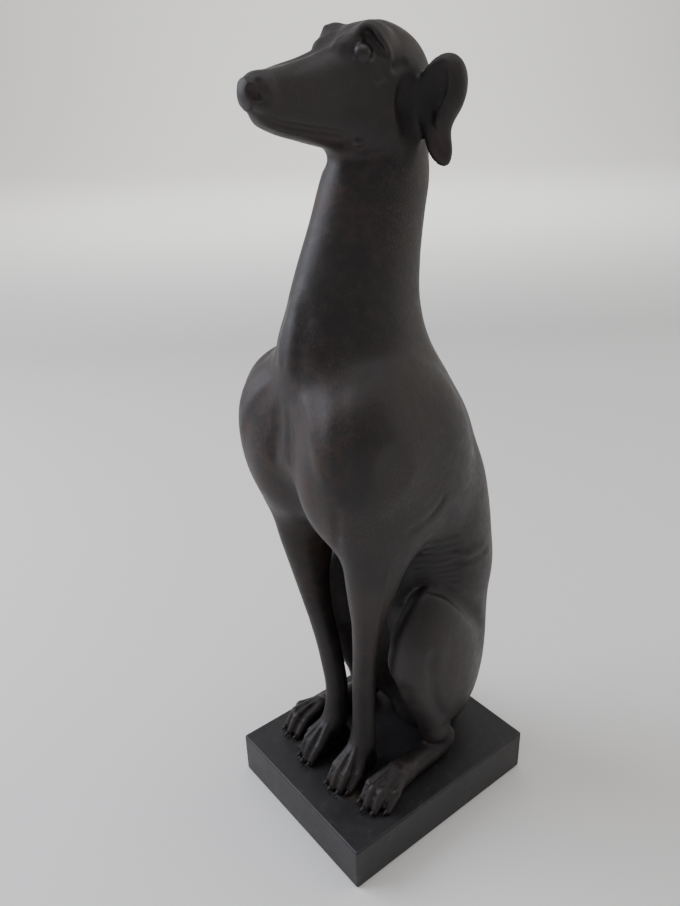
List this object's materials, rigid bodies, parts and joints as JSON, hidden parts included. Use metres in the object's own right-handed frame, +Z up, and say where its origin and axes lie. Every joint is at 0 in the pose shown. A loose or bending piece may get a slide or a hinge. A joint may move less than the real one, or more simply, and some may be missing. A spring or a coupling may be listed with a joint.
{
  "type": "statue",
  "caption": "Seated greyhound in dark cast resin on a plain rectangular plinth, a freestanding ornament for a floor or hall table.",
  "frame": {"origin": "middle of the plinth's underside", "axes": "+Z up; the dog looks along -Y; its left side is +X"},
  "size_m": [0.14, 0.1779, 0.5352],
  "materials": {
    "figure_resin": "dark brown-black cast resin with a satin wax sheen, worn to reddish brown on the high places",
    "plinth_resin": "satin black resin"
  },
  "bodies": {
    "root": {"greyhound": "figure_resin", "plinth": "plinth_resin"}
  },
  "joints": []
}
